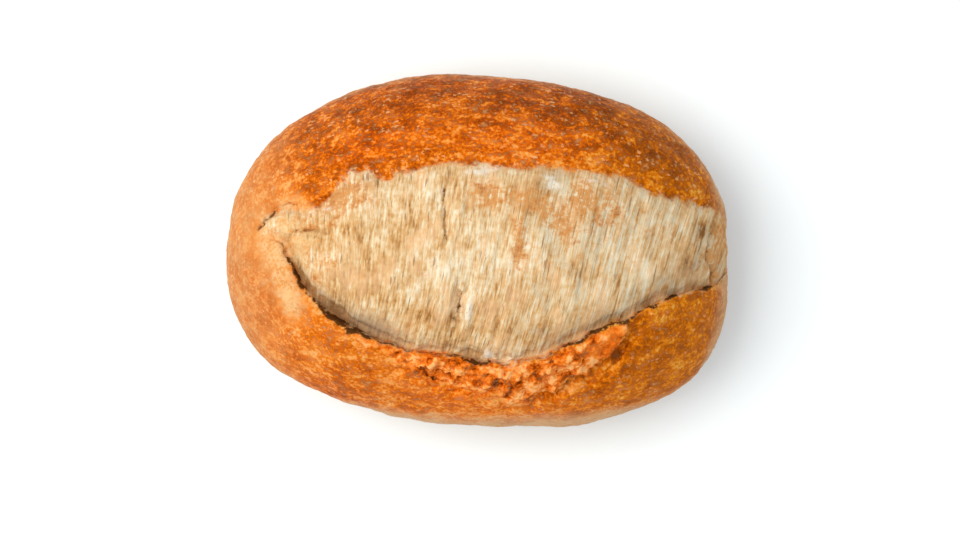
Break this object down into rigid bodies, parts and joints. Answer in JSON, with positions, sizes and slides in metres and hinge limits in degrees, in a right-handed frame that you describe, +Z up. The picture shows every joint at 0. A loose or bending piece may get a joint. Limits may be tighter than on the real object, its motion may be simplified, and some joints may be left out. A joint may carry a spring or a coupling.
{
  "type": "bread roll",
  "caption": "Oval wheat bread roll with a flat base and a lengthwise cut that opened in the oven into a pale ridge with a torn, lifted front edge.",
  "frame": {"origin": "middle of the flat base, on the surface that the roll lies on", "axes": "+X along the roll to its fuller end, +Y to its back, where the ridge meets the crust almost flush, +Z up"},
  "size_m": [0.115, 0.081, 0.051],
  "materials": {
    "bread_roll": "golden-brown baked crust, dry and slightly satin, with a matt cream ridge where the cut opened"
  },
  "bodies": {
    "root": {"bread_roll": "bread_roll"}
  },
  "joints": []
}
